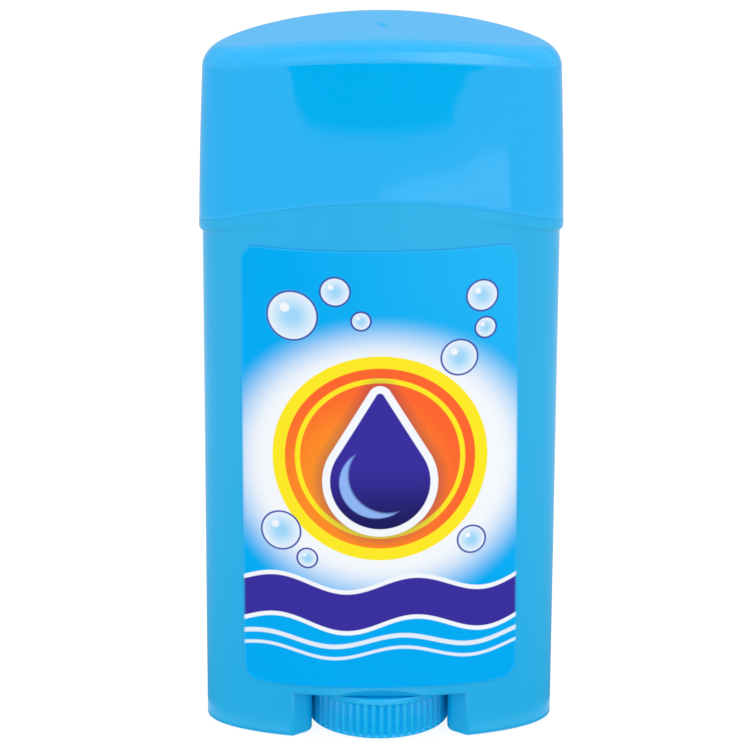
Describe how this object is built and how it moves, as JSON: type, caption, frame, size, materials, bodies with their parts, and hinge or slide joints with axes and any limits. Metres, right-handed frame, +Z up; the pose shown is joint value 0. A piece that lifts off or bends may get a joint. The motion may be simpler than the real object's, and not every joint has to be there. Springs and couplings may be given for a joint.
{
  "type": "stain remover stick",
  "caption": "Oval twist-up stick dispenser with a domed pull-off cap; a ribbed wheel in the base turns a screw that lifts a solid stain remover stick.",
  "frame": {"origin": "on the ground under the middle of the base", "axes": "+Z up along the stick, +X to the right across the width, label facing -Y"},
  "size_m": [0.062, 0.0258, 0.1258],
  "materials": {
    "barrel_plastic": "moulded blue plastic, satin",
    "cap_plastic": "moulded blue plastic, glossy",
    "wheel_plastic": "moulded blue plastic, satin",
    "label_film": "printed film, semi-gloss",
    "natural_plastic": "moulded natural plastic",
    "stick_soap": "cast soap stick, waxy"
  },
  "bodies": {
    "barrel": {"barrel": "barrel_plastic", "front_label": "label_film"},
    "cap": {"cap": "cap_plastic"},
    "drive": {"hand_wheel": "wheel_plastic", "feed_screw": "natural_plastic"},
    "carriage": {"elevator": "natural_plastic", "stain_stick": "stick_soap"}
  },
  "joints": [
    {"name": "cap_lift", "type": "slide", "parent": "barrel", "child": "cap", "axis": [0, 0, 1], "range_m": [0, 0.045]},
    {"name": "wheel_turn", "type": "hinge", "parent": "barrel", "child": "drive", "pos_m": [0, 0, 0], "axis": [0, 0, -1], "range_deg": [0, 1872.5]},
    {"name": "stick_rise", "type": "slide", "parent": "barrel", "child": "carriage", "axis": [0, 0, 1], "range_m": [0, 0.026]}
  ],
  "couplings": [
    {"joint": "wheel_turn", "follows": "stick_rise", "rad_per_m": 1256.6}
  ]
}
